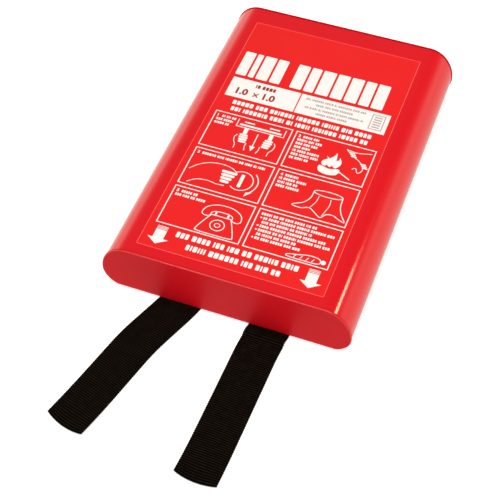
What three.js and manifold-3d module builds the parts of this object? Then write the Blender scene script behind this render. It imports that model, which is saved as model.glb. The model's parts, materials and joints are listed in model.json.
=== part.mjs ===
// Fire blanket in a rigid wall case, lying on its back with its pull tabs on the table.
// Millimetres. +Z points out of the front face, +Y towards the closed top end, and the
// tabs leave the bottom end towards -Y. The origin is the middle of the back face.
import * as THREE from 'three';
import { mergeVertices } from 'three/addons/utils/BufferGeometryUtils.js';
import Module from 'manifold-3d';

const wasm = await Module();
wasm.setup();

// Case: an extruded flat tube between two end caps
const caseWidth = 184;
const caseLength = 271;
const caseThickness = 43;
const wall = 2;
const rearRadius = 17;
const shoulderWidth = 20.5;
const arcSegments = 14;

// End caps: a flange over the end of the tube and a skirt that plugs into it
const flangeThickness = 1.5;
const flangeOverhang = 0.5;
const skirtDepth = 12;
const skirtWall = 1.5;
const capClearance = 0.3;

// Keyholes in the back wall, head hole below and screw slot above
const keyholeSpacing = 80;
const keyholeBelowTop = 62;
const keyholeHeadDiameter = 9.5;
const keyholeSlotWidth = 5;
const keyholeSlotLength = 10;

// Front label, on the flat of the front face
const labelThickness = 0.2;
const labelSideMargin = 3;
const labelMouthMargin = 10;
const labelTopMargin = 18;
const labelCornerRadius = 1;

// Folded blanket: a square cloth pleated across, then folded along, in as few panels as fit
const clothSide = 1000;
const foldBulge = 3;
const packMouthClearance = 2.5;
const packTopClearance = 1;
const packFrontClearance = 6;

// Pull tabs
const tabWidth = 30;
const tabThickness = 1.4;
const tabSewnLength = 60;
const tabHingeReach = 24;
const tabButtGap = 0.3;
const tabClearance = 0.4;
const tabs = [
  { side: 'left', mouthX: -33.8, turnDegrees: -16.5, reach: 123 },
  { side: 'right', mouthX: 33.2, turnDegrees: -2.2, reach: 128 },
];

// Stitching and the gaps between soft pieces
const threadWidth = 0.8;
const threadThickness = 0.3;
const stitchBox = 24;
const stitchFromEnd = 5;
const softGap = 0.3;

// Places that follow from the sizes above
const mouthY = -caseLength / 2;
const tubeStartY = mouthY + flangeThickness;
const tubeEndY = caseLength / 2 - flangeThickness;
const threadZ = wall + softGap;
const tabInsideZ = threadZ + threadThickness + softGap;
const packZ = tabInsideZ + tabThickness + softGap;
const frontFlatWidth = caseWidth - 2 * shoulderWidth;
const packY = tubeStartY + skirtDepth + packMouthClearance;
const panelsAcross = Math.ceil(clothSide / frontFlatWidth);
const panelsAlong = Math.ceil(clothSide / (tubeEndY - packTopClearance - packY));
const packWidth = clothSide / panelsAcross + foldBulge;
const packLength = clothSide / panelsAlong;
const skirtInsideZ = caseThickness - wall - capClearance - skirtWall;
const packThickness = skirtInsideZ - packFrontClearance - packZ;
const tabSkew = Math.max(...tabs.map(skewOf));
const riseStart = flangeThickness + softGap + tabSkew + 1;
const riseLength = 10;
const notchDepth = riseStart + riseLength + tabSkew + 1;
const notchHalfWidth = Math.max(...tabs.map(notchReachOf)) + 2;

const red = new THREE.MeshStandardMaterial({ color: 0xd8141c, roughness: 0.3, metalness: 0 });
const satinRed = new THREE.MeshStandardMaterial({ color: 0xc0161d, roughness: 0.5, metalness: 0 });
const labelRed = new THREE.MeshStandardMaterial({ color: 0xe22024, roughness: 0.35, metalness: 0 });
const glassCloth = new THREE.MeshStandardMaterial({ color: 0xe8e6dd, roughness: 0.9, metalness: 0 });
const blackWebbing = new THREE.MeshStandardMaterial({ color: 0x14110e, roughness: 0.85, metalness: 0 });
const blackThread = new THREE.MeshStandardMaterial({ color: 0x1c1a18, roughness: 0.7, metalness: 0 });

// How far a turned tab's corner leads or trails its centre line
function skewOf(tab) {
  return tabWidth / 2 * Math.abs(Math.sin(THREE.MathUtils.degToRad(tab.turnDegrees)));
}

// Outer edge of a tab where it crosses the mouth, measured from the middle of the case
function notchReachOf(tab) {
  return Math.abs(tab.mouthX) + tabWidth / 2 / Math.cos(THREE.MathUtils.degToRad(tab.turnDegrees));
}

// Closed section of the case grown outwards, with its own growth at the back
function caseOutline(growth, rearGrowth = growth) {
  const halfWidth = caseWidth / 2 + growth;
  const rearX = rearRadius + growth;
  const rearZ = rearRadius + rearGrowth;
  const frontX = shoulderWidth + growth;
  const frontZ = caseThickness + growth - rearRadius;
  const quarter = Math.PI / 2;
  const shape = new THREE.Shape();
  shape.moveTo(rearX - halfWidth, -rearGrowth);
  shape.absellipse(halfWidth - rearX, rearRadius, rearX, rearZ, -quarter, 0, false, 0);
  shape.absellipse(halfWidth - frontX, rearRadius, frontX, frontZ, 0, quarter, false, 0);
  shape.absellipse(frontX - halfWidth, rearRadius, frontX, frontZ, quarter, 2 * quarter, false, 0);
  shape.absellipse(rearX - halfWidth, rearRadius, rearX, rearZ, 2 * quarter, 3 * quarter, false, 0);
  return shape;
}

// Extrudes an X-Z section along +Y from a start
function extrudeAlongY(shape, startY, length) {
  const geometry = new THREE.ExtrudeGeometry(shape, {
    depth: length,
    bevelEnabled: false,
    curveSegments: arcSegments,
  });
  geometry.rotateX(Math.PI / 2);
  geometry.translate(0, startY + length, 0);
  return geometry;
}

// Extrudes an X-Y outline along +Z from a start
function extrudeAlongZ(shape, startZ, length) {
  const geometry = new THREE.ExtrudeGeometry(shape, {
    depth: length,
    bevelEnabled: false,
    curveSegments: arcSegments,
  });
  geometry.translate(0, 0, startZ);
  return geometry;
}

function toSolid(geometry) {
  geometry.deleteAttribute('normal');
  geometry.deleteAttribute('uv');
  const merged = mergeVertices(geometry, 1e-4);
  return new wasm.Manifold(new wasm.Mesh({
    numProp: 3,
    vertProperties: merged.attributes.position.array,
    triVerts: new Uint32Array(merged.index.array),
  }));
}

function toGeometry(solid) {
  const { vertProperties, triVerts } = solid.getMesh();
  const geometry = new THREE.BufferGeometry();
  geometry.setAttribute('position', new THREE.BufferAttribute(vertProperties, 3));
  geometry.setIndex(new THREE.BufferAttribute(triVerts, 1));
  geometry.computeVertexNormals();
  return geometry;
}

function boxBetween(low, high) {
  const geometry = new THREE.BoxGeometry(high[0] - low[0], high[1] - low[1], high[2] - low[2]);
  geometry.translate((low[0] + high[0]) / 2, (low[1] + high[1]) / 2, (low[2] + high[2]) / 2);
  return geometry;
}

function roundedRectangle(lowX, lowY, width, height, radius) {
  const quarter = Math.PI / 2;
  const highX = lowX + width;
  const highY = lowY + height;
  const shape = new THREE.Shape();
  shape.moveTo(lowX + radius, lowY);
  shape.absarc(highX - radius, lowY + radius, radius, -quarter, 0, false);
  shape.absarc(highX - radius, highY - radius, radius, 0, quarter, false);
  shape.absarc(lowX + radius, highY - radius, radius, quarter, 2 * quarter, false);
  shape.absarc(lowX + radius, lowY + radius, radius, 2 * quarter, 3 * quarter, false);
  return shape;
}

// One keyhole cutter: the screw head enters the round hole and the shank runs up the slot
function keyholeCutter(x) {
  const headY = caseLength / 2 - keyholeBelowTop;
  const past = wall;
  const head = new THREE.CylinderGeometry(keyholeHeadDiameter / 2, keyholeHeadDiameter / 2, wall + 2 * past, 32);
  head.rotateX(Math.PI / 2);
  head.translate(x, headY, wall / 2);
  const slotOutline = roundedRectangle(
    x - keyholeSlotWidth / 2,
    headY,
    keyholeSlotWidth,
    keyholeSlotLength + keyholeSlotWidth / 2,
    keyholeSlotWidth / 2 - 0.01,
  );
  const slot = extrudeAlongZ(slotOutline, -past, wall + 2 * past);
  return toSolid(head).add(toSolid(slot));
}

// Flat tube with the keyholes and, at the mouth, a notch in the back wall for the tabs
function caseSleeve() {
  const section = caseOutline(0);
  section.holes.push(caseOutline(-wall));
  let tube = toSolid(extrudeAlongY(section, tubeStartY, tubeEndY - tubeStartY));
  for (const x of [-keyholeSpacing / 2, keyholeSpacing / 2]) {
    tube = tube.subtract(keyholeCutter(x));
  }
  const notch = boxBetween(
    [-notchHalfWidth, mouthY - wall, -wall],
    [notchHalfWidth, mouthY + notchDepth, wall + softGap],
  );
  return toGeometry(tube.subtract(toSolid(notch)));
}

// End cap: the flange's back edge lies flush with the case's back face
function endCap(flangeStartY, skirtStartY) {
  const flange = extrudeAlongY(caseOutline(flangeOverhang, 0), flangeStartY, flangeThickness);
  const skirtSection = caseOutline(-wall - capClearance);
  skirtSection.holes.push(caseOutline(-wall - capClearance - skirtWall));
  const overlap = flangeThickness / 2;
  const towardsFlange = Math.sign(flangeStartY - skirtStartY);
  const start = towardsFlange < 0 ? skirtStartY - overlap : skirtStartY;
  const skirt = extrudeAlongY(skirtSection, start, skirtDepth + overlap);
  return toSolid(flange).add(toSolid(skirt));
}

function topEndCap() {
  return toGeometry(endCap(tubeEndY, tubeEndY - skirtDepth));
}

// The bottom cap's flange and skirt stop short of the tabs that pass behind them
function bottomEndCap() {
  const cap = endCap(mouthY, tubeStartY);
  const side = caseWidth;
  const underFlange = boxBetween(
    [-side, mouthY - wall, -wall],
    [side, tubeStartY, tabThickness + tabClearance],
  );
  const underSkirt = boxBetween(
    [-side, tubeStartY, -wall],
    [side, tubeStartY + 2 * skirtDepth, tabInsideZ + tabThickness + tabClearance],
  );
  return toGeometry(cap.subtract(toSolid(underFlange)).subtract(toSolid(underSkirt)));
}

function frontLabel() {
  const labelWidth = frontFlatWidth - 2 * labelSideMargin;
  const labelLength = caseLength - labelMouthMargin - labelTopMargin;
  const labelY = mouthY + labelMouthMargin;
  const outline = roundedRectangle(-labelWidth / 2, labelY, labelWidth, labelLength, labelCornerRadius);
  return extrudeAlongZ(outline, caseThickness, labelThickness);
}

function foldedBlanket() {
  const section = roundedRectangle(-packWidth / 2, packZ, packWidth, packThickness, packThickness / 4);
  return extrudeAlongY(section, packY, packLength);
}

// Height of a tab's underside at a distance inside the mouth, measured along the tab
function tabHeight(inside) {
  const t = THREE.MathUtils.clamp((inside - riseStart) / riseLength, 0, 1);
  return tabInsideZ * t * t * (3 - 2 * t);
}

// Stretch of webbing between two distances along the tab, positive inside the mouth
function webbing(from, to) {
  const upper = [];
  const lower = [];
  const riseSteps = 10;
  const stations = [from];
  for (let step = 0; step <= riseSteps; step += 1) {
    const station = riseStart + riseLength * step / riseSteps;
    if (station > from && station < to) stations.push(station);
  }
  stations.push(to);
  for (const station of stations) {
    lower.push(new THREE.Vector2(station, tabHeight(station)));
    upper.push(new THREE.Vector2(station, tabHeight(station) + tabThickness));
  }
  const shape = new THREE.Shape([...lower, ...upper.reverse()]);
  const geometry = new THREE.ExtrudeGeometry(shape, { depth: tabWidth, bevelEnabled: false });
  geometry.rotateX(Math.PI / 2);
  geometry.rotateZ(Math.PI / 2);
  geometry.translate(-tabWidth / 2, 0, 0);
  return geometry;
}

// Box stitch: a square of thread with both diagonals, on the underside of the tab
function boxStitch(centre) {
  const half = stitchBox / 2;
  const bars = [
    { x: 0, y: centre - half, length: stitchBox + threadWidth, turn: 0 },
    { x: 0, y: centre + half, length: stitchBox + threadWidth, turn: 0 },
    { x: -half, y: centre, length: stitchBox, turn: Math.PI / 2 },
    { x: half, y: centre, length: stitchBox, turn: Math.PI / 2 },
    { x: 0, y: centre, length: stitchBox * Math.SQRT2, turn: Math.PI / 4 },
    { x: 0, y: centre, length: stitchBox * Math.SQRT2, turn: -Math.PI / 4 },
  ];
  const pieces = bars.map((bar) => {
    const geometry = new THREE.BoxGeometry(bar.length, threadWidth, threadThickness);
    geometry.rotateZ(bar.turn);
    geometry.translate(bar.x, bar.y, threadZ + threadThickness / 2);
    return toSolid(geometry);
  });
  return toGeometry(pieces.reduce((joined, piece) => joined.add(piece)));
}

function named(name, geometry, material) {
  const mesh = new THREE.Mesh(geometry, material);
  mesh.name = name;
  return mesh;
}

// A tab's own frame: X across the webbing, +Y into the case, origin on the mouth line
function pullTab(tab) {
  const inside = riseStart + riseLength + tabSewnLength;
  const hinge = -tabHingeReach;
  const group = new THREE.Group();
  group.position.set(tab.mouthX, mouthY, 0);
  group.rotation.z = THREE.MathUtils.degToRad(tab.turnDegrees);
  group.add(named(`${tab.side}_tab_root`, webbing(hinge + tabButtGap / 2, inside), blackWebbing));
  group.add(named(`${tab.side}_pull_tab`, webbing(-tab.reach, hinge - tabButtGap / 2), blackWebbing));
  const stitchCentre = inside - stitchFromEnd - stitchBox / 2;
  group.add(named(`${tab.side}_box_stitch`, boxStitch(stitchCentre), blackThread));
  return group;
}

const group = new THREE.Group();
group.add(named('case_sleeve', caseSleeve(), red));
group.add(named('top_end_cap', topEndCap(), satinRed));
group.add(named('bottom_end_cap', bottomEndCap(), satinRed));
group.add(named('front_label', frontLabel(), labelRed));
group.add(named('fire_blanket', foldedBlanket(), glassCloth));
for (const tab of tabs) {
  group.add(pullTab(tab));
}

export default group;
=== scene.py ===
import json
import math
import random

import bpy
from mathutils import Matrix, Vector


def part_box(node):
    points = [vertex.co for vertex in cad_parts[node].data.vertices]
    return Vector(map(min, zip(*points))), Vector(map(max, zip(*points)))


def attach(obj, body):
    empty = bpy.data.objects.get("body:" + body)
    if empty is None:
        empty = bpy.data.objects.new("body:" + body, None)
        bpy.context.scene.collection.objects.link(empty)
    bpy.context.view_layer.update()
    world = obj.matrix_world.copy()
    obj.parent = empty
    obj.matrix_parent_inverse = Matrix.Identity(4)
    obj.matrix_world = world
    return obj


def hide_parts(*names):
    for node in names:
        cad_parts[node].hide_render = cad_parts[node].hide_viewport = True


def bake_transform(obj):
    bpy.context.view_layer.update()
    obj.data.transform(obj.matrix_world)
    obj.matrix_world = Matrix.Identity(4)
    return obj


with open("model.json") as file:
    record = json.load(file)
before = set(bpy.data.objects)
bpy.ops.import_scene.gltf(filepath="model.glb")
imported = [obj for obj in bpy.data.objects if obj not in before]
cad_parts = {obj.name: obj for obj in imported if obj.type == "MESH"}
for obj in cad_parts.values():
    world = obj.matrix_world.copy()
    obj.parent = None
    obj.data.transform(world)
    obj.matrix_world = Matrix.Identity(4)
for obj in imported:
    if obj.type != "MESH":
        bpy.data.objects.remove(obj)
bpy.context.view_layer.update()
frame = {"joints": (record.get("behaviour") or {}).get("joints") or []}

MM = 0.001
QUARTER = math.pi / 2

# Case and caps, as in the CAD source
WALL = 2.0 * MM
REAR_RADIUS = 17.0 * MM
SHOULDER = 20.5 * MM
KEYHOLE_X = 40.0 * MM
CAP_CLEARANCE = 0.3 * MM
SKIRT_WALL = 1.5 * MM
FLANGE = 1.5 * MM
ARC_STEPS = 28

SLEEVE_LOW, SLEEVE_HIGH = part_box("case_sleeve")
LABEL_LOW, LABEL_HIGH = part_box("front_label")
PACK_LOW, PACK_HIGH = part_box("fire_blanket")
CAP_LOW, CAP_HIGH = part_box("bottom_end_cap")
HALF_WIDTH = SLEEVE_HIGH[0]
THICKNESS = SLEEVE_HIGH[2]
MOUTH_Y = CAP_LOW[1]
FLANGE_OVERHANG = CAP_HIGH[0] - HALF_WIDTH

# Pull tabs
TAB_WIDTH = 30.0 * MM
TAB_THICKNESS = 1.4 * MM
TAB_HINGE_REACH = 24.0 * MM
RIB_PITCH = 1.7 * MM
WARP_PITCH = 0.75 * MM
WEAVE_PITCH = 1.1 * MM


# Meshes

def add_object(name, data):
    piece = bpy.data.objects.new(name, data)
    bpy.context.scene.collection.objects.link(piece)
    return piece


def mesh_object(name, points, faces, material=None, smooth=True):
    mesh = bpy.data.meshes.new(name)
    mesh.from_pydata([tuple(p) for p in points], [], faces)
    mesh.validate()
    mesh.update()
    for polygon in mesh.polygons:
        polygon.use_smooth = smooth
    if material:
        mesh.materials.append(material)
    return add_object(name, mesh)


def evaluated_mesh(piece):
    """A new mesh of the piece as its modifiers or its typeface make it."""
    depsgraph = bpy.context.evaluated_depsgraph_get()
    return bpy.data.meshes.new_from_object(piece.evaluated_get(depsgraph))


def add_uv(piece, name, places):
    """Gives each point of a piece its place on the flat cloth."""
    layer = piece.data.uv_layers.new(name=name)
    for loop in piece.data.loops:
        layer.data[loop.index].uv = places[loop.vertex_index]


def ellipse(cx, cy, rx, ry, start, end, steps):
    """Points along an ellipse from one angle to another, in degrees."""
    angles = [math.radians(start + (end - start) * step / steps) for step in range(steps + 1)]
    return [(cx + rx * math.cos(a), cy + ry * math.sin(a)) for a in angles]


def rectangle(left, bottom, right, top):
    return [(left, bottom), (right, bottom), (right, top), (left, top)]


def rounded(left, bottom, right, top, radius, steps):
    """Points round a rectangle whose corners have a radius."""
    centres = rectangle(left + radius, bottom + radius, right - radius, top - radius)
    points = []
    for turn, (x, y) in enumerate(centres[1:] + centres[:1], start=3):
        points += ellipse(x, y, radius, radius, 90 * turn, 90 * (turn + 1), steps)
    return points


def loft(rings, close_ends=True, loop_back=False):
    """Points and faces over closed rings of equal point counts."""
    count = len(rings[0])
    points = [p for ring in rings for p in ring]
    faces = []
    pairs = len(rings) if loop_back else len(rings) - 1
    for r in range(pairs):
        here, there = r * count, (r + 1) % len(rings) * count
        for i in range(count):
            j = (i + 1) % count
            faces.append((here + i, here + j, there + j, there + i))
    if close_ends and not loop_back:
        faces.append(tuple(reversed(range(count))))
        faces.append(tuple(range((len(rings) - 1) * count, len(rings) * count)))
    return points, faces


def prism(outline, low, high):
    """Points and faces of an outline carried from one height to another."""
    return loft([[Vector((x, y, z)) for x, y in outline] for z in (low, high)])


def joined(name, parts, material, smooth=True):
    """One mesh out of several lofts."""
    points, faces = [], []
    for part_points, part_faces in parts:
        base = len(points)
        points += part_points
        faces += [tuple(base + i for i in face) for face in part_faces]
    return mesh_object(name, points, faces, material, smooth)


def cut(piece, cutters):
    """Subtracts the cutters from a piece and removes them."""
    for cutter in cutters:
        modifier = piece.modifiers.new("cut", "BOOLEAN")
        modifier.operation = "DIFFERENCE"
        modifier.solver = "EXACT"
        modifier.object = cutter
    done = evaluated_mesh(piece)
    piece.modifiers.clear()
    piece.data = done
    for cutter in cutters:
        bpy.data.objects.remove(cutter)


def sharpen(piece, degrees=35):
    """Keeps edges steeper than an angle crisp and flat faces flat."""
    piece.data.set_sharp_from_angle(angle=math.radians(degrees))
    modifier = piece.modifiers.new("flat_faces", "WEIGHTED_NORMAL")
    modifier.keep_sharp = True


# Materials

def set_range(node, source, target):
    """Sets the two ranges of a Map Range node."""
    node.inputs["From Min"].default_value, node.inputs["From Max"].default_value = source
    node.inputs["To Min"].default_value, node.inputs["To Max"].default_value = target


class Nodes:
    """A material's node tree, with short calls for what the looks are made of."""

    def __init__(self, name, roughness, **uniform):
        self.material = bpy.data.materials.new(name)
        self.material.use_nodes = True
        self.tree = self.material.node_tree
        self.shader = self.tree.nodes["Principled BSDF"]
        self.shader.inputs["Roughness"].default_value = roughness
        for socket, value in uniform.items():
            self.shader.inputs[socket.replace("_", " ")].default_value = value
        self.place = self.add("ShaderNodeTexCoord").outputs["Object"]

    def add(self, kind, **settings):
        node = self.tree.nodes.new(kind)
        for key, value in settings.items():
            setattr(node, key, value)
        return node

    def link(self, source, target):
        self.tree.links.new(source, target)

    def noise(self, scale, detail=3.0, stretch=(1, 1, 1)):
        mapping = self.add("ShaderNodeMapping")
        mapping.inputs["Scale"].default_value = stretch
        self.link(self.place, mapping.inputs["Vector"])
        node = self.add("ShaderNodeTexNoise")
        node.inputs["Scale"].default_value = scale
        node.inputs["Detail"].default_value = detail
        self.link(mapping.outputs["Vector"], node.inputs["Vector"])
        return node.outputs["Fac"]

    def spread(self, factor, low, high, from_low=0.3, from_high=0.7):
        node = self.add("ShaderNodeMapRange")
        set_range(node, (from_low, from_high), (low, high))
        self.link(factor, node.inputs["Value"])
        return node.outputs["Result"]

    def blend(self, factor, dark, light):
        node = self.add("ShaderNodeMix", data_type="RGBA")
        node.inputs["A"].default_value = (*dark, 1)
        node.inputs["B"].default_value = (*light, 1)
        self.link(factor, node.inputs["Factor"])
        return node.outputs["Result"]

    def colour(self, socket):
        self.link(socket, self.shader.inputs["Base Color"])

    def roughness(self, socket):
        self.link(socket, self.shader.inputs["Roughness"])

    def bump(self, height, distance, strength=1.0, under=None):
        node = self.add("ShaderNodeBump")
        node.inputs["Strength"].default_value = strength
        node.inputs["Distance"].default_value = distance
        self.link(height, node.inputs["Height"])
        if under:
            self.link(under, node.inputs["Normal"])
        self.link(node.outputs["Normal"], self.shader.inputs["Normal"])
        return node.outputs["Normal"]


def gloss_plastic():
    """Extruded gloss plastic: faint flow waviness along the case and a few fine scuffs."""
    n = Nodes("case_red_gloss", 0.2, Specular_IOR_Level=0.5)
    n.colour(n.blend(n.noise(14), (0.64, 0.0035, 0.0100), (0.68, 0.0050, 0.0125)))
    n.roughness(n.spread(n.noise(60, stretch=(1, 0.15, 1)), 0.10, 0.16))
    waviness = n.bump(n.noise(28, 1.0, (1, 0.2, 1)), 0.00003, 0.12)
    n.bump(n.noise(900, 2.0, (1, 0.3, 1)), 0.00002, 0.35, waviness)
    return n.material


def satin_plastic():
    """Moulded cap plastic with a fine spark-eroded grain."""
    n = Nodes("cap_red_satin", 0.42, Specular_IOR_Level=0.06)
    n.colour(n.blend(n.noise(22), (0.46, 0.0035, 0.0085), (0.51, 0.0050, 0.0105)))
    n.roughness(n.spread(n.noise(500), 0.36, 0.50))
    n.bump(n.noise(1500, 4.0), 0.00005, 0.6)
    return n.material


def rim_painted_highlight():
    """The cap's rounded rim, handled smooth, its lighter red a painted highlight."""
    n = Nodes("cap_red_rim_painted_highlight", 0.25, Specular_IOR_Level=0.4)
    # Lighter red than the cap: a painted highlight along the rounded rim.
    n.colour(n.blend(n.noise(90), (0.60, 0.014, 0.018), (0.70, 0.036, 0.036)))
    n.roughness(n.spread(n.noise(700), 0.2, 0.34))
    return n.material


def label_film():
    """Printed film: slightly warmer red, its gloss a little uneven."""
    n = Nodes("label_red_film", 0.3, Specular_IOR_Level=0.3)
    n.colour(n.blend(n.noise(35), (0.73, 0.0105, 0.0110), (0.77, 0.0130, 0.0135)))
    n.roughness(n.spread(n.noise(40), 0.28, 0.34))
    return n.material


def ink(name, dark, light, roughness=0.4):
    n = Nodes(name, roughness)
    n.colour(n.blend(n.noise(420), dark, light))
    n.roughness(n.spread(n.noise(200), roughness - 0.05, roughness + 0.05))
    return n.material


def webbing_black():
    """Black polypropylene yarn: a brownish painted highlight on the woven ribs' crests, painted shade in
    their dark valleys, and fine warp lines.
    """
    n = Nodes("webbing_black", 0.7, Specular_IOR_Level=0.02)
    uv = n.add("ShaderNodeUVMap", uv_map="strap").outputs["UV"]
    split = n.add("ShaderNodeSeparateXYZ")
    n.link(uv, split.inputs["Vector"])

    def wave(axis, pitch):
        turns = n.add("ShaderNodeMath", operation="MULTIPLY")
        turns.inputs[1].default_value = math.tau / pitch
        sine = n.add("ShaderNodeMath", operation="COSINE")
        n.link(split.outputs[axis], turns.inputs[0])
        n.link(turns.outputs[0], sine.inputs[0])
        return sine.outputs[0]

    fibres = n.noise(3800, 3.0)
    # Rib crests get a painted highlight and the valleys painted shade, the highlight varied in strength by
    # noise.
    crest = n.spread(wave("Y", RIB_PITCH), 1.0, 0.0, -1.0, -0.25)
    painted_crest_highlight = n.add("ShaderNodeMath", operation="MULTIPLY")
    n.link(crest, painted_crest_highlight.inputs[0])
    n.link(n.spread(n.noise(240), 0.45, 1.0), painted_crest_highlight.inputs[1])
    n.colour(n.blend(painted_crest_highlight.outputs[0], (0.0002, 0.0001, 0.0001), (0.0230, 0.0142, 0.0082)))
    n.roughness(n.spread(fibres, 0.62, 0.82))
    yarns = n.bump(wave("X", WARP_PITCH), 0.00007, 0.8)
    n.bump(fibres, 0.00005, 0.6, yarns)
    return n.material


def glass_cloth():
    """Plain-woven glass fibre: crossing yarns, a faint sheen and slight yellowing."""
    n = Nodes("glass_cloth", 0.55, Sheen_Weight=0.1, Sheen_Roughness=0.35, Specular_IOR_Level=0.3)
    uv = n.add("ShaderNodeUVMap", uv_map="cloth").outputs["UV"]
    weave = n.add("ShaderNodeTexChecker")
    weave.inputs["Scale"].default_value = 1 / WEAVE_PITCH
    n.link(uv, weave.inputs["Vector"])
    aged = n.blend(n.noise(45), (0.68, 0.66, 0.59), (0.76, 0.745, 0.69))
    threads = n.add("ShaderNodeMix", data_type="RGBA", blend_type="MULTIPLY")
    threads.inputs["Factor"].default_value = 1.0
    n.link(aged, threads.inputs["A"])
    n.link(n.blend(weave.outputs["Fac"], (0.84, 0.83, 0.80), (1, 1, 1)), threads.inputs["B"])
    n.colour(threads.outputs["Result"])
    n.roughness(n.spread(n.noise(600), 0.48, 0.66))
    yarns = n.bump(weave.outputs["Fac"], 0.00012, 0.7)
    n.bump(n.noise(2200, 2.0), 0.00005, 0.5, yarns)
    return n.material


def thread(name, dark, light):
    n = Nodes(name, 0.6, Sheen_Weight=0.15)
    n.colour(n.blend(n.noise(900), dark, light))
    n.bump(n.noise(4000, 2.0), 0.00004, 0.6)
    return n.material


CASE_RED = gloss_plastic()
CAP_RED = satin_plastic()
# The rim material's lighter red is a painted highlight on the cap's rounded edge.
CAP_RIM_PAINTED_HIGHLIGHT = rim_painted_highlight()
LABEL_RED = label_film()
LABEL_EDGE = ink("label_edge", (0.86, 0.085, 0.085), (0.9, 0.11, 0.11), 0.3)
WHITE_INK = ink("print_white", (0.83, 0.82, 0.80), (0.88, 0.87, 0.86))
RED_INK = ink("print_dark_red", (0.30, 0.010, 0.012), (0.36, 0.014, 0.016))
GREY_INK = ink("print_grey", (0.42, 0.34, 0.32), (0.48, 0.40, 0.38))
WEBBING = webbing_black()
CLOTH = glass_cloth()
BLACK_THREAD = thread("thread_black", (0.006, 0.005, 0.005), (0.016, 0.014, 0.013))
WHITE_THREAD = thread("thread_white", (0.70, 0.69, 0.64), (0.82, 0.81, 0.77))


# Case

def arc(centre_x, radius_x, radius_z, start):
    """A quarter turn of the case's section, about a centre at the rear radius's height."""
    return ellipse(centre_x, REAR_RADIUS, radius_x, radius_z, start, start + 90, ARC_STEPS)


def section(growth, rear_growth=None):
    """Closed section of the case grown outwards, as (x, z) points from the back's left edge."""
    rear_growth = growth if rear_growth is None else rear_growth
    half = HALF_WIDTH + growth
    rear_x, rear_z = REAR_RADIUS + growth, REAR_RADIUS + rear_growth
    front_x, front_z = SHOULDER + growth, THICKNESS + growth - REAR_RADIUS
    support = 0.6 * MM
    points = [(rear_x - half + support, -rear_growth), (half - rear_x - support, -rear_growth)]
    points += arc(half - rear_x, rear_x, rear_z, -90)
    points += arc(half - front_x, front_x, front_z, 0)[1:]
    front = THICKNESS + growth
    points += [(half - front_x - support, front), (front_x - half + support, front)]
    points += arc(front_x - half, front_x, front_z, 90)
    points += arc(rear_x - half, rear_x, rear_z, 180)[1:]
    return points


def ring(growth, y, rear_growth=None, floor=-math.inf):
    """A section at a place along the case, its back kept above a floor height."""
    return [Vector((x, y, max(z, floor))) for x, z in section(growth, rear_growth)]


def rounded_ends(low, high, radius, steps=4):
    """(y, inset) pairs along a wall whose two rims are rounded over."""
    turn = [QUARTER * step / steps for step in range(steps + 1)]
    rim = [(radius * (1 - math.sin(a)), radius * (1 - math.cos(a))) for a in turn]
    return [(low + y, inset) for y, inset in rim[::-1]] + [(high - y, inset) for y, inset in rim]


def keyhole_cutter(x):
    """Round head hole with the screw's slot above it, from the CAD's sizes."""
    head_y, head_radius = 73.5 * MM, 4.75 * MM
    slot_half, slot_length = 2.5 * MM, 10.0 * MM
    neck = math.degrees(math.asin(slot_half / head_radius))
    outline = ellipse(x, head_y, head_radius, head_radius, 90 + neck, 450 - neck, 36)
    outline += ellipse(x, head_y + slot_length, slot_half, slot_half, 0, 180, 12)
    return mesh_object("keyhole_cutter", *prism(outline, -WALL, 2 * WALL))


def make_sleeve():
    """Open tube with rounded rims, two keyholes and the tabs' notch."""
    rim, soft_gap = 0.35 * MM, 0.3 * MM
    notch_half, notch_depth = 51.4 * MM, 22.3 * MM
    stations = rounded_ends(SLEEVE_LOW[1], SLEEVE_HIGH[1], rim)
    outer = [ring(-inset, y) for y, inset in stations]
    inner = [ring(inset - WALL, y) for y, inset in reversed(stations)]
    sleeve = mesh_object("case_shell", *loft(outer + inner, loop_back=True), CASE_RED)
    mouth = rectangle(-notch_half, MOUTH_Y - WALL, notch_half, MOUTH_Y + notch_depth)
    notch = mesh_object("notch_cutter", *prism(mouth, -WALL, WALL + soft_gap))
    cut(sleeve, [keyhole_cutter(-KEYHOLE_X), keyhole_cutter(KEYHOLE_X), notch])
    sharpen(sleeve)
    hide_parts("case_sleeve")
    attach(sleeve, "case")


def flange(outer_y, inner_y, floor=-math.inf):
    """End plate with its outer edge rounded over, as the bright rim round the case's end."""
    direction = 1 if inner_y > outer_y else -1
    radius, steps = 0.8 * MM, 6
    rings = []
    for step in range(steps + 1):
        a = QUARTER * step / steps
        inset = radius * (1 - math.sin(a))
        y = outer_y + direction * radius * (1 - math.cos(a))
        rings.append(ring(FLANGE_OVERHANG - inset, y, -inset, floor + inset / 2))
    rings.append(ring(FLANGE_OVERHANG, inner_y, 0, floor))
    if direction < 0:
        rings.reverse()
    return loft(rings)


def skirt_section(growth, floor):
    """Open arch of the skirt's section, from its right foot over the front to its left foot."""
    front = [p for p in section(growth) if p[1] > floor]
    radius = REAR_RADIUS + growth
    drop = (REAR_RADIUS - floor) / radius
    foot = HALF_WIDTH - REAR_RADIUS + radius * math.sqrt(1 - drop * drop)
    return [(foot, floor)] + front + [(-foot, floor)]


def skirt_wall():
    """The bottom cap's skirt: an arch with closed ends, open at the rear for the tabs."""
    growth, floor, steps = -WALL - CAP_CLEARANCE, 4.7 * MM, 120
    outer = resample(skirt_section(growth, floor), steps)
    inner = resample(skirt_section(growth - SKIRT_WALL, floor)[::-1], steps)
    loop = outer + inner
    rings = [[Vector((x, y, z)) for x, z in loop] for y in (MOUTH_Y + FLANGE / 2, CAP_HIGH[1])]
    points, faces = loft(rings, close_ends=False)
    for base, flip in ((0, True), (len(loop), False)):
        for i in range(steps - 1):
            across = 2 * steps - 1 - i
            quad = (base + i, base + i + 1, base + across - 1, base + across)
            faces.append(quad[::-1] if flip else quad)
    return points, faces


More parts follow.
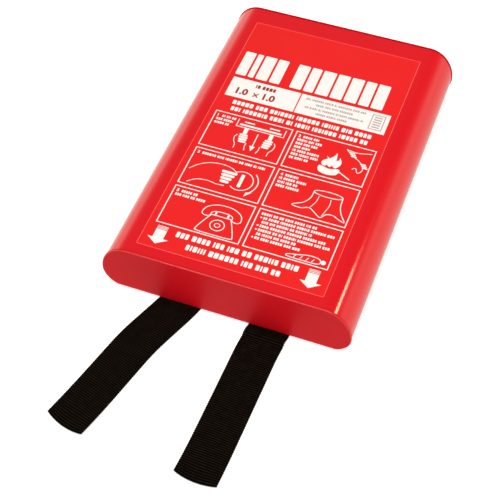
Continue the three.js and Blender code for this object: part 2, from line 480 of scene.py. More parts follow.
def make_bottom_cap():
    """Push-off cap: flange and an arch of skirt, both cut short for the tabs behind them."""
    gap = 0.4 * MM
    face = flange(MOUTH_Y, MOUTH_Y + FLANGE, TAB_THICKNESS + gap)
    cap = joined("bottom_cap_shell", [face, skirt_wall()], CAP_RED)
    finish_cap(cap)
    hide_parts("bottom_end_cap")
    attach(cap, "bottom_cap")


def finish_cap(cap):
    """Gives the flange's rounded edge its own glossier material, its lighter red a painted highlight."""
    cap.data.materials.append(CAP_RIM_PAINTED_HIGHLIGHT)
    for polygon in cap.data.polygons:
        if 0.1 < abs(polygon.normal.y) < 0.99:
            polygon.material_index = 1
    sharpen(cap)


def resample(points, count):
    """Evenly spaced points along a 2-D path."""
    lengths = [0.0]
    for (x0, z0), (x1, z1) in zip(points, points[1:]):
        lengths.append(lengths[-1] + math.hypot(x1 - x0, z1 - z0))
    made, k = [], 0
    for i in range(count):
        target = lengths[-1] * i / (count - 1)
        while k < len(points) - 2 and lengths[k + 1] < target:
            k += 1
        span = lengths[k + 1] - lengths[k]
        t = (target - lengths[k]) / span if span else 0
        (x0, z0), (x1, z1) = points[k], points[k + 1]
        made.append((x0 + t * (x1 - x0), z0 + t * (z1 - z0)))
    return made


def make_top_cap():
    """Fixed cap: flange and a skirt all the way round."""
    low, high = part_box("top_end_cap")
    outer = -WALL - CAP_CLEARANCE
    inner = outer - SKIRT_WALL
    start, end = low[1], high[1] - FLANGE / 2
    wall = [ring(growth, y) for growth, y in ((outer, start), (outer, end), (inner, end), (inner, start))]
    face = flange(high[1], high[1] - FLANGE)
    cap = joined("top_cap_shell", [face, loft(wall, loop_back=True)], CAP_RED)
    finish_cap(cap)
    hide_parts("top_end_cap")
    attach(cap, "case")


# Label and its print

LABEL_TOP = LABEL_HIGH[2]
INK_LIFT = 0.02 * MM
INK_DEPTH = 0.04 * MM
INK_STEP = 0.0015 * MM
TYPE_SIZE = 1.38
TYPE_WEIGHT = 0.055


class Print:
    """Flat ink shapes on the label, in millimetres from an origin, at first the case's middle."""

    def __init__(self, name, material, level=0):
        self.name, self.material = name, material
        self.base = LABEL_TOP + INK_LIFT + level * (INK_LIFT + INK_DEPTH)
        self.origin = (0, 0)
        self.parts = []

    def placed(self, path):
        return [(self.origin[0] + x, self.origin[1] + y) for x, y in path]

    def top(self):
        """Each shape's top is a hair off its neighbours', so that shapes may overlap."""
        return self.base + INK_DEPTH - INK_STEP * (len(self.parts) % 12)

    def polygon(self, corners):
        corners = self.placed(corners)
        area = sum(x0 * y1 - x1 * y0 for (x0, y0), (x1, y1) in zip(corners, corners[1:] + corners[:1]))
        if area < 0:
            corners = corners[::-1]
        self.parts.append(prism([(x * MM, y * MM) for x, y in corners], self.base, self.top()))

    def rect(self, left, bottom, right, top, radius=0.0, steps=3):
        edges = (left, bottom, right, top)
        self.polygon(rounded(*edges, radius, steps) if radius else rectangle(*edges))

    def frame(self, left, bottom, right, top, width):
        half = width / 2
        self.stroke(rectangle(left + half, bottom + half, right - half, top - half), width, closed=True)

    def stroke(self, path, width=0.6, closed=False):
        """A line of even width along a path, mitred at its corners."""
        path = self.placed(path)
        rings = []
        last = len(path) - 1
        for i, point in enumerate(path):
            here = Vector(point)
            arriving = here - Vector(path[i - 1]) if i or closed else Vector(path[1]) - here
            leaving = Vector(path[(i + 1) % len(path)]) - here if i < last or closed else arriving
            arriving, leaving = arriving.normalized(), leaving.normalized()
            along = (arriving + leaving).normalized()
            reach = width / 2 / max(along.dot(arriving), 0.5)
            side = Vector((-along.y, along.x)) * reach
            left, right = (here + side) * MM, (here - side) * MM
            corners = ((right, self.base), (right, self.top()), (left, self.top()), (left, self.base))
            rings.append([Vector((place.x, place.y, z)) for place, z in corners])
        self.parts.append(loft(rings, loop_back=closed))

    def curve(self, points, width=0.6, closed=False):
        self.stroke(smooth_path(points, closed), width, closed)

    def ellipse(self, cx, cy, rx, ry, width=0.6, start=0, end=360, steps=36):
        whole = end - start == 360
        path = ellipse(cx, cy, rx, ry, start, end, steps)
        self.stroke(path[:-1] if whole else path, width, whole)

    def disc(self, cx, cy, radius):
        self.polygon(ellipse(cx, cy, radius, radius, 0, 360, 24)[:-1])

    def words(self, left, right, middle, height, rng, centred=False):
        """A line of placeholder words: each letter is a plain block of uneven width."""
        blocks, x = [], left
        while x < right - 1.4 * height:
            for _ in range(rng.choice((2, 3, 4, 5, 6, 7))):
                width = height * rng.choice((0.26, 0.52, 0.56, 0.6, 0.66))
                if x + width > right:
                    break
                blocks.append((x, x + width))
                x += width + 0.17 * height
            x += 0.36 * height
        shift = (right - blocks[-1][1]) / 2 if centred else 0.0
        for low, high in blocks:
            self.rect(low + shift, middle - height / 2, high + shift, middle + height / 2, height * 0.1, 1)

    def fist(self, cx, top, lean):
        """A hand closed round a tab: four fingers, a thumb and the wrist's two sides."""
        for row in range(4):
            half = 3.5 - 0.25 * abs(row - 1)
            drop = top - 2.25 * row
            self.rect(cx - half + lean * 0.3 * row, drop - 1.9, cx + half + lean * 0.3 * row, drop, 0.9)
        outer = ((-4.6, 1.6), (-5.9, 4.4), (-5.2, 8.4), (-3.4, 11.5), (-3.1, 15.5))
        inner = ((4.6, 8.3), (4.4, 11.6), (5.4, 15.5))
        for side in (outer, inner):
            self.curve([(cx + x * lean, top - down) for x, down in side])

    def digits(self, text, left, middle, height):
        """Plain digits from Blender's built-in typeface. Returns their right edge."""
        curve = bpy.data.curves.new("digits", "FONT")
        curve.body = text
        curve.size = height * MM * TYPE_SIZE
        curve.offset = height * MM * TYPE_WEIGHT
        curve.resolution_u = 3
        piece = add_object("digits", curve)
        mesh = evaluated_mesh(piece)
        points = [v.co.copy() for v in mesh.vertices]
        (left, low), = self.placed([(left, middle - height / 2)])
        shift = Vector((left * MM - min(p.x for p in points), low * MM - min(p.y for p in points), 0))
        flat = [p + shift for p in points]
        count = len(flat)
        solid = [Vector((p.x, p.y, self.base + INK_DEPTH)) for p in flat]
        solid += [Vector((p.x, p.y, self.base)) for p in flat]
        faces = [tuple(polygon.vertices) for polygon in mesh.polygons]
        edges = {(a, b) for face in faces for a, b in zip(face, face[1:] + face[:1])}
        sides = [(b, a, a + count, b + count) for a, b in sorted(edges) if (b, a) not in edges]
        under = [tuple(i + count for i in reversed(face)) for face in faces]
        self.parts.append((solid, faces + under + sides))
        bpy.data.objects.remove(piece)
        return max(p.x for p in flat) / MM

    def finish(self):
        piece = joined(self.name, self.parts, self.material, smooth=False)
        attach(piece, "case")


def smooth_path(points, closed=False, steps=6):
    """A Catmull-Rom curve through 2-D points."""
    points = [Vector(point) for point in points]
    if closed:
        around = points[-1:] + points + points[:2]
    else:
        around = points[:1] + points + points[-1:]
    made = []
    for a, b, c, d in zip(around, around[1:], around[2:], around[3:]):
        for step in range(steps):
            t = step / steps
            made.append(tuple(0.5 * (
                2 * b + (c - a) * t + (2 * a - 5 * b + 4 * c - d) * t * t + (3 * b - a - 3 * c + d) * t ** 3
            )))
    if not closed:
        made.append(tuple(points[-1]))
    return made


def draw_pull(p):
    """The lower end of the wall case, its two tabs pulled down by two hands."""
    p.stroke([(20, -3), (20, -10.5), (57.5, -10.5), (57.5, -3)], 0.7)
    p.rect(22.2, -8.9, 55.3, -7.2)
    for x in (25, 45):
        p.rect(x, -5.4, x + 8, -4.2)
    for x, lean in ((28.8, 1), (48.7, -1)):
        p.rect(x - 1.6, -16.6, x + 1.6, -10.8)
        p.fist(x, -16.9, lean)
    p.stroke([(38.8, -13.5), (38.8, -27.5)], 0.8)
    p.polygon([(36.6, -26.5), (41, -26.5), (38.8, -31.5)])


def draw_flame(p, cx, bottom, height):
    """Three plain flame tongues that curl at their tips."""
    for offset, share, lean in ((-0.27, 0.66, -0.10), (0.0, 1.0, 0.10), (0.28, 0.74, 0.05)):
        tall, half, x = height * share, height * 0.19, cx + offset * height
        outline = [
            (x, bottom), (x - half, bottom + 0.22 * tall), (x - 0.7 * half, bottom + 0.55 * tall),
            (x + 0.2 * half, bottom + 0.78 * tall), (x + lean * tall, bottom + tall),
            (x + half * 0.9, bottom + 0.72 * tall), (x + half, bottom + 0.35 * tall),
        ]
        p.polygon(smooth_path(outline, closed=True, steps=4))


def draw_pan_fire(p):
    """A burning pan and a cloth brought to it by its upper corners."""
    draw_flame(p, 34, -26.5, 15)
    pan = [(26.6, -26.8), (34, -28.3), (41.4, -26.8), (41, -32.2), (34, -34.2), (27, -32.2)]
    p.polygon(smooth_path(pan, closed=True, steps=5))
    p.stroke([(41.6, -28.6), (51.5, -33.8)], 0.9)
    p.curve([(41, -5.5), (47, -10.5), (53.5, -14.5), (57.5, -21), (55, -25.5), (52.5, -21.5), (50, -23)])
    p.curve([(41, -5.5), (49, -6.5), (60, -4)])
    for hand_x, hand_y in ((43.5, -8.3), (54.3, -16.7)):
        for row in range(3):
            x, y = hand_x + 1.1 * row, hand_y - 1.6 * row
            p.rect(x, y, x + 4.4, y + 1.2, 0.55)


def draw_knob(p):
    """A hand turning a round control knob to its stop."""
    cx, cy = 43, -21
    p.ellipse(cx, cy, 9, 9, 0.7, -128, 128)
    p.rect(cx - 1.3, cy - 6.3, cx + 1.3, cy + 6.3, 0.8)
    p.ellipse(cx, cy, 12.6, 12.6, 0.8, -42, 48)
    p.polygon([(cx + 11.4, cy - 7.6), (cx + 7.0, cy - 9.2), (cx + 6.6, cy - 13.4)])
    p.curve([(3, -22), (9, -15.5), (17, -11.4), (26, -10.4), (33, -11.8), (38, -15)])
    p.curve([(6, -34.5), (12, -30), (20, -28.6), (27, -29.6), (33, -29.2)])
    for row in range(4):
        low = -17.4 - 3.1 * row
        p.rect(26.5 + 0.6 * row, low, 38.5 - 1.1 * row, low + 2.4, 1.15)


def draw_covered_pan(p):
    """A cloth lying over a round pan, its corners on the worktop."""
    p.ellipse(42, -12, 10.8, 2.5, 0.7)
    p.curve([
        (31.2, -12.5), (30.6, -19), (27, -24.5), (20, -28.8), (26.5, -30), (32.5, -28), (37, -30.5),
        (42.5, -34), (46, -30), (51, -29.3), (55.5, -31.5), (60, -32.6), (56, -26.5), (53.4, -20),
        (52.8, -12.5),
    ], 0.7)
    p.curve([(36, -15.5), (35.6, -21), (33, -27.5)], 0.5)
    p.curve([(45, -15.8), (45.6, -22), (43.2, -32.5)], 0.5)


def draw_telephone(p):
    """A desk telephone: arched handset over a tapered body with a round dial."""
    p.curve([
        (27.5, -17.5), (29, -12), (35, -8.2), (42, -7.2), (49, -8.2), (55, -12), (56.5, -17.5), (54, -19.4),
        (50.4, -18.6), (49.6, -15.2), (45.5, -13.6), (38.5, -13.6), (34.4, -15.2), (33.6, -18.6), (30, -19.4),
    ], 0.7, closed=True)
    for x in (37.4, 46.6):
        p.rect(x - 0.7, -16.8, x + 0.7, -14.2)
    p.curve([
        (34.6, -17.6), (31.5, -24), (28.4, -32), (29.6, -34.2), (42, -34.6), (54.4, -34.2), (55.6, -32),
        (52.5, -24), (49.4, -17.6),
    ], 0.7)
    p.stroke([(34.6, -17.4), (49.4, -17.4)], 0.7)
    p.ellipse(42, -25.6, 5.2, 4.8, 0.7)
    p.ellipse(42, -25.6, 2.0, 1.8)


def draw_lying_person(p):
    """A plain figure lying down and wrapped to its shoulders."""
    p.disc(57.5, -31.6, 1.9)
    p.curve([
        (54.6, -29.8), (47, -28.8), (39, -30.6), (32, -32.2), (32, -34), (42, -34.4), (54.4, -33.8),
    ], 0.7, closed=True)
    for x in (38, 42.5, 47, 51):
        p.stroke([(x, -30.9), (x - 1.4, -33.4)])


def draw_arrow(p, cx, top):
    """Thick down arrow whose tail breaks into stripes."""
    for row in range(3):
        p.rect(cx - 4, top - 0.55 - 1.1 * row, cx + 4, top - 1.1 * row)
    p.rect(cx - 4, top - 11, cx + 4, top - 3.3)
    p.polygon([(cx - 7.8, top - 11), (cx + 7.8, top - 11), (cx, top - 16.2)])


def make_film():
    """The label's film, with a paler border where its cut edge catches the light."""
    radius, bevel, border = 1.0 * MM, 0.06 * MM, 0.55 * MM
    low, high = LABEL_LOW, LABEL_HIGH
    rings = []
    for z, inset in ((low[2], 0), (high[2] - bevel, 0), (high[2], bevel), (high[2], border)):
        edges = (low[0] + inset, low[1] + inset, high[0] - inset, high[1] - inset)
        rings.append([Vector((x, y, z)) for x, y in rounded(*edges, radius - inset, 6)])
    film = mesh_object("label_film", *loft(rings), LABEL_RED, smooth=False)
    film.data.materials.append(LABEL_EDGE)
    count = len(rings[0])
    for index, polygon in enumerate(film.data.polygons):
        if count <= index < 3 * count:
            polygon.material_index = 1
    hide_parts("front_label")
    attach(film, "case")


HEADING_WIDTHS = ((8.4, 4.6, 9.4, 8.4), (9.4, 7.8, 10.2, 9.4, 9.8, 8.2, 9.2))
TEXT_TOP = 4.4
LINE_PITCH = 3.7
PANEL_COLUMNS = ((-63.2, -1.2), (1.5, 63.8))
PANEL_ROWS = ((13.9, -23.6), (-26.4, -63.7), (-66.3, -103.0))
# Each panel's drawing and where its lines of text start and end, across from its left edge
PANELS = (
    (draw_pull, ((6.5, 18), (3, 18), (3, 17))),
    (draw_pan_fire, ((6.5, 21), (3, 23), (3, 21), (3, 19), (3, 24), (3, 25), (3, 18))),
    (draw_knob, ((6.5, 57),)),
    (draw_covered_pan, ((6.5, 20), (3, 26), (3, 19), (3, 24))),
    (draw_telephone, ((6.5, 20), (3, 27))),
    (draw_lying_person, ((3, 48), (5.5, 59), (5.5, 44), (5.5, 58), (5.5, 59), (5.5, 36), (5.5, 42))),
)
LISTED_ROWS = (1, 3, 4, 6)


def print_heading(white, rng):
    """The heading's letter blocks, two white fields and two lines of text under them."""
    x = -64.0
    for group in HEADING_WIDTHS:
        for width in group:
            white.rect(x, 55.6, x + width, 82.4, 0.9)
            x += width + 1.75
        x += 6.6
    white.rect(-63.5, 31.4, -8.2, 52.4)
    white.rect(-7.2, 31.4, 63.5, 52.4)
    white.words(-57, 58, 26.2, 4.3, rng, True)
    white.words(-54, 55, 19.4, 4.3, rng, True)


def print_panels(white, rng):
    """Six framed drawings, five of them numbered and the last with a bulleted list."""
    for index, (draw, lines) in enumerate(PANELS):
        left, right = PANEL_COLUMNS[index % 2]
        top, bottom = PANEL_ROWS[index // 2]
        white.frame(left, bottom, right, top, 0.8)
        white.origin = (left, top)
        draw(white)
        white.origin = (0, 0)
        listed = draw is draw_lying_person
        if not listed:
            white.digits(str(index + 1), left + 2.8, top - TEXT_TOP, 2.6)
        for row, (start, end) in enumerate(lines):
            middle = top - TEXT_TOP - LINE_PITCH * row
            white.words(left + start, left + end, middle, 2.3, rng)
            if listed and row in LISTED_ROWS:
                white.disc(left + 3.9, middle, 0.7)


def make_label():
    rng = random.Random(11)
    make_film()
    white = Print("label_print_white", WHITE_INK)
    print_heading(white, rng)
    print_panels(white, rng)
    for cx in (-56, 56):
        draw_arrow(white, cx, -105.4)
    white.words(-46, 46, -108.8, 4.8, rng, True)
    white.words(-39, 39, -117.2, 4.8, rng, True)
    white.finish()

    red = Print("label_print_red", RED_INK, level=1)
    red.words(-44, -27, 47.6, 3.6, rng, True)
    cross = red.digits("1.0", -56.5, 38.6, 6.4) + 6.4
    for turn in (1, -1):
        red.stroke([(cross - 2.0, 38.2 - 2.0 * turn), (cross + 2.0, 38.2 + 2.0 * turn)], 1.0)
    red.digits("1.0", cross + 6.0, 38.6, 6.4)
    red.finish()

    grey = Print("label_print_grey", GREY_INK, level=1)
    for row, (low, high) in enumerate(((-3, 45), (6, 36), (-2, 46), (8, 34))):
        grey.words(low, high, 48.4 - 4.4 * row, 2.0, rng, True)
    grey.frame(50, 34, 60.5, 50, 0.8)
    for row in range(5):
        grey.rect(52.2, 36.2 + 2.6 * row, 58.3, 37.4 + 2.6 * row)
    grey.finish()


# Pull tabs

JOINTS = {joint["name"]: joint for joint in frame["joints"]}
# Inside the case, back from the mouth
INSIDE_REACH = 77.06 * MM
STITCH_REACH = 60.06 * MM
STITCH_HALF = 12 * MM
RISE_START = 7.06 * MM
RISE_LENGTH = 10 * MM
INSIDE_HEIGHT = 2.9 * MM
# Outside it
CREASE_RISE = 7 * MM
CREASE_FALL = 4.5 * MM
CURL_LENGTH = 40 * MM
BULGE_LENGTH = 18 * MM
RIB_PHASES = (0.0, 0.14, 0.36, 0.64, 0.86)
RIB_DEPTH = 0.2 * MM


def eased(t):
    t = min(max(t, 0.0), 1.0)
    return t * t * (3 - 2 * t)


def along_curve(places, at):
    """Smooth interpolation through (place, value) pairs."""
    if at <= places[0][0]:
        return places[0][1]
    for (low, first), (high, second) in zip(places, places[1:]):
        if at <= high:
            return first + (second - first) * eased((at - low) / (high - low))
    return places[-1][1]


class Strap:
    """One webbing tab, laid along its CAD line with the bends that the photograph shows.

    Reach runs outwards from the case's mouth. sway holds (reach, heading in degrees) pairs, hump is the
    height of the crease outside the mouth, curl how far the end lifts, bow the lift of its two edges, and
    bulge how far the middle of the cut end stands out.
    """

    def __init__(self, side, length, sway, hump, curl, bow, bulge):
        joint = JOINTS[side + "_tab_lift"]
        self.side, self.length = side, length
        self.hump, self.curl, self.bow, self.bulge = hump, curl, bow, bulge
        self.across = Vector(joint["axis"])
        self.out = Vector((-self.across.y, self.across.x, 0))
        self.hinge = Vector(joint["pos_m"])
        self.mouth = self.hinge - self.out * TAB_HINGE_REACH
        self.mouth.z = 0
        self.drift = [0.0]
        self.step = MM
        for i in range(int(length / self.step) + 2):
            heading = along_curve(sway, i * self.step)
            self.drift.append(self.drift[-1] - self.step * math.tan(math.radians(heading)))

    def offset(self, reach):
        if reach <= 0:
            return 0.0
        i = int(reach / self.step)
        share = reach / self.step - i
        return self.drift[i] * (1 - share) + self.drift[i + 1] * share

    def underside(self, reach, x):
        """Height of the strap's lower face at a distance out and a place across."""
        if reach < 0:
            return INSIDE_HEIGHT * eased((-reach - RISE_START) / RISE_LENGTH)
        height = self.hump * (eased(reach / CREASE_RISE) - eased((reach - CREASE_RISE) / CREASE_FALL))
        lifted = max(0.0, 1 - (self.length - reach) / CURL_LENGTH)
        edge = 2 * x / TAB_WIDTH
        height += lifted ** 2 * (self.curl + self.bow[0 if edge > 0 else 1] * edge * edge)
        return height

    def point(self, reach, x, lift):
        place = self.mouth + self.out * reach + self.across * (x + self.offset(reach))
        place.z = self.underside(reach, x) + lift
        return place

    def stations(self):
        """(reach, crest) along the strap: five places on each rib, crest 1 at its top and 0 in the valley."""
        ribs = int((self.length + INSIDE_REACH) / RIB_PITCH)
        return [
            ((rib + phase) * RIB_PITCH - INSIDE_REACH, math.sin(math.pi * phase) ** 0.7)
            for rib in range(ribs) for phase in RIB_PHASES
        ]

    def build(self):
        stations = self.stations()
        columns = [math.sin(QUARTER * (c / 5 - 1)) for c in range(11)]
        around = [(1, column) for column in columns] + [(-1, column) for column in columns[::-1][1:-1]]
        middle = TAB_THICKNESS / 2
        rings, places = [], []
        for index, (reach, crest) in enumerate(stations):
            from_end = min(index, len(stations) - 1 - index) / 4
            sealed = 0.62 + 0.38 * min(from_end, 1.0)
            thick = (middle - RIB_DEPTH * (1 - crest)) * sealed
            half = TAB_WIDTH / 2 + 0.25 * MM - 0.3 * MM * (1 - crest)
            bulge = self.bulge * eased(1 - (self.length - reach) / BULGE_LENGTH)
            ring_points = []
            for face, column in around:
                x = column * half
                edge = math.sqrt(max(0.0, 1 - abs(column) ** 14))
                wave = 0.16 * MM * math.sin(x / (4.2 * MM) + reach / (21 * MM))
                at = reach + wave * min(from_end / 3, 1.0) + bulge * (1 - column * column)
                ring_points.append(self.point(at, x, middle + face * thick * edge))
                places.append((x, reach))
            rings.append(ring_points)
        strap = mesh_object(self.side + "_strap", *loft(rings), WEBBING)
        add_uv(strap, "strap", places)
        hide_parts(self.side + "_tab_root", self.side + "_pull_tab")
        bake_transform(strap)


def thread_run(start, end, radius, pitch=3.2 * MM, gap=0.55 * MM):
    """A row of stitches between two points: short tapered threads with gaps between them."""
    length = (end - start).length
    count = max(1, round(length / pitch))
    along = (end - start).normalized()
    side = along.cross(Vector((0, 0, 1))).normalized()
    parts = []
    for i in range(count):
        low = start + along * (length * i / count + gap / 2)
        high = start + along * (length * (i + 1) / count - gap / 2)
        rings = []
        for share, girth in ((0.0, 0.35), (0.12, 0.85), (0.5, 1.0), (0.88, 0.85), (1.0, 0.35)):
            centre = low.lerp(high, share)
            rings.append([
                centre + radius * girth * (math.cos(a) * side + 0.7 * math.sin(a) * Vector((0, 0, 1)))
                for a in (math.tau * k / 8 for k in range(8))
            ])
        parts.append(loft(rings))
    return parts


def make_box_stitch(strap):
    """The sewn box with its crossed diagonals that holds the strap to the blanket."""
    low, high = -STITCH_REACH - STITCH_HALF, -STITCH_REACH + STITCH_HALF
    sink = -0.02 * MM
    box = ((low, -STITCH_HALF), (low, STITCH_HALF), (high, STITCH_HALF), (high, -STITCH_HALF))
    corners = [strap.point(reach, x, sink) for reach, x in box]
    runs = list(zip(corners, corners[1:] + corners[:1]))
    runs += [(corners[0], corners[2]), (corners[1], corners[3])]
    parts = [part for start, end in runs for part in thread_run(start, end, 0.36 * MM)]
    piece = joined(strap.side + "_stitching", parts, BLACK_THREAD)
    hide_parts(strap.side + "_box_stitch")
    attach(piece, "blanket")


def make_straps():
    left = Strap(
        "left", 122.6 * MM, hump=0.0, curl=1.2 * MM, bow=(0.6 * MM, 1.3 * MM), bulge=2.4 * MM,
        sway=[(0, -1.5), (10 * MM, -4.5), (26 * MM, -4.5), (58 * MM, 2.6)],
    )
    right = Strap(
        "right", 126.8 * MM, hump=2.0 * MM, curl=1.0 * MM, bow=(1.6 * MM, 0.3 * MM), bulge=2.2 * MM,
        sway=[(0, -2.8), (14 * MM, -2.8), (26 * MM, 0.7), (90 * MM, 0.7), (128 * MM, -0.4)],
    )
    for strap in (left, right):
        strap.build()
        make_box_stitch(strap)


# Folded blanket

PANELS_ACROSS = 7
PANELS_ALONG = 4
LAYER_PITCH = (PACK_HIGH[2] - PACK_LOW[2]) / (PANELS_ACROSS * PANELS_ALONG)
CLOTH_THICKNESS = 0.72 * MM
HEM_WIDTH = 14 * MM
HEM_SEAM = 10 * MM
STEPS_ACROSS = 16
STEPS_ALONG = 26


def serpentine(panels, low, high, pitch, straight_steps, turn_steps):
    """A strip folded to and fro between two ends, as (distance, place, height, normal) rows."""
    radius = pitch / 2
    rows, distance = [], 0.0
    for panel in range(panels):
        forward = 1 if panel % 2 == 0 else -1
        start, end = (low, high) if forward > 0 else (high, low)
        for step in range(straight_steps + 1):
            share = step / straight_steps
            place = start + share * (end - start)
            rows.append((distance + share * (high - low), place, panel * pitch, (0, forward)))
        distance += high - low
        if panel < panels - 1:
            for step in range(1, turn_steps):
                a = math.pi * step / turn_steps
                place = end + forward * radius * math.sin(a)
                height = panel * pitch + radius * (1 - math.cos(a))
                normal = (-forward * math.sin(a), forward * math.cos(a))
                rows.append((distance + radius * a, place, height, normal))
            distance += math.pi * radius
    return rows


class Blanket:
    """One square cloth pleated across and then folded along, inside its CAD block."""

    def __init__(self):
        rng = random.Random(5)
        layers = PANELS_ACROSS * PANELS_ALONG + 2
        self.uneven_x = [rng.random() for _ in range(layers)]
        self.uneven_y = [rng.random() for _ in range(layers)]
        stack = LAYER_PITCH * PANELS_ACROSS
        fold_x = (LAYER_PITCH + CLOTH_THICKNESS) / 2
        fold_y = (stack + stack - LAYER_PITCH + CLOTH_THICKNESS) / 2
        self.across = serpentine(
            PANELS_ACROSS, PACK_LOW[0] + fold_x, PACK_HIGH[0] - fold_x, LAYER_PITCH, STEPS_ACROSS, 6,
        )
        self.along = serpentine(
            PANELS_ALONG, PACK_LOW[1] + fold_y, PACK_HIGH[1] - fold_y, stack, STEPS_ALONG, 10,
        )
        self.half_stack = (stack - LAYER_PITCH) / 2
        self.base = PACK_LOW[2] + stack / 2

    def settle(self, point):
        """Uneven folds from layer to layer and a soft swell of the pack's upper side."""
        middle_y = (PACK_LOW[1] + PACK_HIGH[1]) / 2
        level = min(max((point.z - PACK_LOW[2]) / LAYER_PITCH, 0.0), len(self.uneven_x) - 1.001)
        i, share = int(level), level - int(level)
        pull_x = self.uneven_x[i] * (1 - share) + self.uneven_x[i + 1] * share
        pull_y = self.uneven_y[i] * (1 - share) + self.uneven_y[i + 1] * share
        x = point.x * (1 - 0.014 * pull_x)
        y = middle_y + (point.y - middle_y) * (1 - 0.010 * pull_y)
        soft = math.cos(x / PACK_HIGH[0] * QUARTER)
        soft *= math.cos((y - middle_y) / (PACK_HIGH[1] - middle_y) * QUARTER)
        ripple = math.sin(x / (19 * MM) + 1.3 * math.sin(y / (41 * MM)))
        ripple *= math.cos(y / (27 * MM) + x / (60 * MM))
        rise = (point.z - PACK_LOW[2]) / (PACK_HIGH[2] - PACK_LOW[2])
        return Vector((x, y, point.z + rise * (1.1 * MM * soft + 0.35 * MM * ripple)))

    def point(self, row, column, offset):
        """A point of the cloth, at an offset from its middle surface."""
        _, x, height, (normal_x, normal_height) = self.across[column]
        _, y, level, (lean_y, lean_z) = self.along[row]
        stacked = height - self.half_stack + offset * normal_height
        z = self.base + level + lean_z * stacked
        return self.settle(Vector((x + offset * normal_x, y + lean_y * stacked, z)))

    def thickness(self, row, column):
        """The cloth's half thickness, doubled over at its hem."""
        across, along = self.across[column][0], self.along[row][0]
        from_edge = min(across, self.across[-1][0] - across, along, self.along[-1][0] - along)
        return CLOTH_THICKNESS / 2 + 0.12 * MM * (1 - eased((from_edge - HEM_WIDTH) / (2 * MM)))

    def build(self):
        rows, columns = len(self.along), len(self.across)
        points, places = [], []
        for face in (1, -1):
            for row in range(rows):
                for column in range(columns):
                    points.append(self.point(row, column, face * self.thickness(row, column)))
                    places.append((self.across[column][0], self.along[row][0]))
        faces = []
        under = rows * columns
        for row in range(rows - 1):
            for column in range(columns - 1):
                i = row * columns + column
                quad = (i, i + 1, i + columns + 1, i + columns)
                faces += [quad, tuple(under + k for k in quad[::-1])]
        rim = list(range(columns))
        rim += [row * columns + columns - 1 for row in range(1, rows)]
        rim += [(rows - 1) * columns + column for column in range(columns - 2, -1, -1)]
        rim += [row * columns for row in range(rows - 2, 0, -1)]
        for a, b in zip(rim, rim[1:] + rim[:1]):
            faces.append((b, a, under + a, under + b))
        cloth = mesh_object("glass_blanket", points, faces, CLOTH)
        add_uv(cloth, "cloth", places)
        cloth.data.set_sharp_from_angle(angle=math.radians(60))
        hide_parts("fire_blanket")
        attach(cloth, "blanket")
        seams = self.seams()

    def seams(self):
        """Hem stitching where the pack's lowest and highest panels show it."""
        across = [column[0] for column in self.across]
        along = [row[0] for row in self.along]
        rows, length = len(along), along[-1]
        seam_column = min(range(len(across)), key=lambda c: abs(across[c] - HEM_SEAM))
        first_row = min(range(rows), key=lambda r: abs(along[r] - HEM_SEAM))
        last_row = min(range(rows), key=lambda r: abs(length - along[r] - HEM_SEAM))
        lift = -(CLOTH_THICKNESS / 2 + 0.14 * MM)
        parts = []
        for seam_row, panel_rows in (
            (first_row, range(STEPS_ALONG + 1)),
            (last_row, range(rows - STEPS_ALONG - 1, rows)),
        ):
            down = [self.point(row, seam_column, lift) for row in panel_rows]
            side = [self.point(seam_row, column, lift) for column in range(STEPS_ACROSS + 1)]
            for path in (down, side):
                for start, end in zip(path, path[1:]):
                    parts += thread_run(start, end, 0.22 * MM, 3.0 * MM, 0.8 * MM)
        piece = joined("hem_stitching", parts, WHITE_THREAD)
        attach(piece, "blanket")
        return piece


# Stage, light and camera

def make_stage():
    half, z = 6.0, -0.02 * MM
    corners = [(x, y, z) for x, y in rectangle(-half, -half, half, half)]
    floor = mesh_object("floor", corners, [(0, 1, 2, 3)], smooth=False)
    n = Nodes("floor_white", 0.6, Emission_Color=(1, 1, 1, 1), Emission_Strength=0.5)
    n.colour(n.blend(n.noise(3), (0.80, 0.80, 0.80), (0.82, 0.82, 0.82)))
    floor.data.materials.append(n.material)
    floor.visible_glossy = False


def softbox(name, place, aim, length, width, watts, lengthwise=(1, 0, 0), colour=(1, 1, 1)):
    """An area light at a place, facing an aim, its long side near a direction."""
    light = bpy.data.lights.new(name, "AREA")
    light.shape = "RECTANGLE"
    light.size, light.size_y = length, width
    light.energy = watts
    light.color = colour
    back = (Vector(place) - Vector(aim)).normalized()
    side = back.cross(Vector(lengthwise)).normalized()
    axes = Matrix((side.cross(back), side, back)).transposed().to_4x4()
    add_object(name, light).matrix_world = Matrix.Translation(place) @ axes


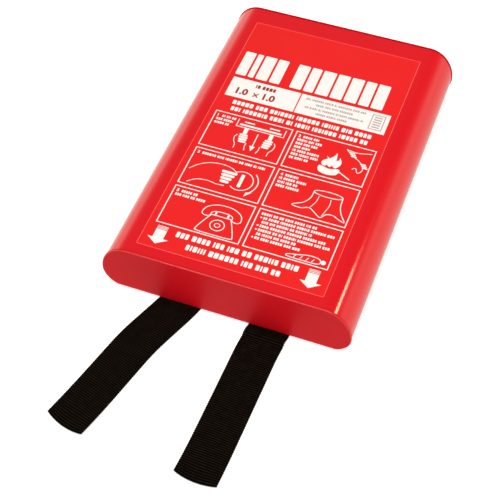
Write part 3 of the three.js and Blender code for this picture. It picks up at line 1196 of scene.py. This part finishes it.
def make_light():
    """A tent dim overhead and brighter to the left, a top softbox and a warm strip at the right."""
    bands = ((0.0, 0.6), (0.495, 0.6), (0.505, 0.75), (0.60, 0.75), (0.71, 0.22), (0.795, 0.13))
    left_strength, right_strength = 2.05, 1.4
    world = bpy.data.worlds.new("studio")
    bpy.context.scene.world = world
    world.use_nodes = True
    tree = world.node_tree
    add, link = tree.nodes.new, tree.links.new
    background = tree.nodes["Background"]
    direction = add("ShaderNodeTexCoord")
    split = add("ShaderNodeSeparateXYZ")
    link(direction.outputs["Generated"], split.inputs["Vector"])
    level = add("ShaderNodeMapRange")
    set_range(level, (-1, 1), (0, 1))
    link(split.outputs["Z"], level.inputs["Value"])
    ramp = add("ShaderNodeValToRGB")
    while len(ramp.color_ramp.elements) < len(bands):
        ramp.color_ramp.elements.new(0.5)
    for element, (place, brightness) in zip(ramp.color_ramp.elements, bands):
        element.position = place
        element.color = (brightness, 0.96 * brightness, 0.86 * brightness, 1)
    link(level.outputs["Result"], ramp.inputs["Fac"])
    link(ramp.outputs["Color"], background.inputs["Color"])
    sideways = add("ShaderNodeMapRange")
    set_range(sideways, (-0.2, 0.2), (left_strength, right_strength))
    link(split.outputs["X"], sideways.inputs["Value"])
    link(sideways.outputs["Result"], background.inputs["Strength"])
    softbox("top", (0.1, -0.55, 2.1), (0, -0.1, 0), 2.2, 2.0, 46)
    softbox(
        "strip", (0.865, 0.55, 0.77), (0.08, -0.09, 0.04), 0.22, 0.20, 3.3,
        lengthwise=(-0.385, 0.80, -0.45), colour=(1.0, 0.66, 0.42),
    )


def make_camera():
    """The photograph's view: azimuth and elevation from the case's middle, then a slight roll."""
    azimuth, elevation, roll = math.radians(21.1), math.radians(51.83), math.radians(-0.81)
    aim = Vector((8.07 * MM, -104.3 * MM, THICKNESS))
    distance = 0.8264
    turn = Matrix.Rotation(azimuth, 4, "Z") @ Matrix.Rotation(QUARTER - elevation, 4, "X")
    turn = turn @ Matrix.Rotation(roll, 4, "Z")
    data = bpy.data.cameras.new("camera")
    data.lens, data.sensor_width = 86.3, 36
    camera = add_object("camera", data)
    camera.matrix_world = Matrix.Translation(aim) @ turn @ Matrix.Translation((0, 0, distance))
    bpy.context.scene.camera = camera


bpy.context.scene.view_settings.view_transform = "Standard"
make_camera()
make_stage()
make_light()
make_sleeve()
make_bottom_cap()
make_top_cap()
make_label()
make_straps()
Blanket().build()
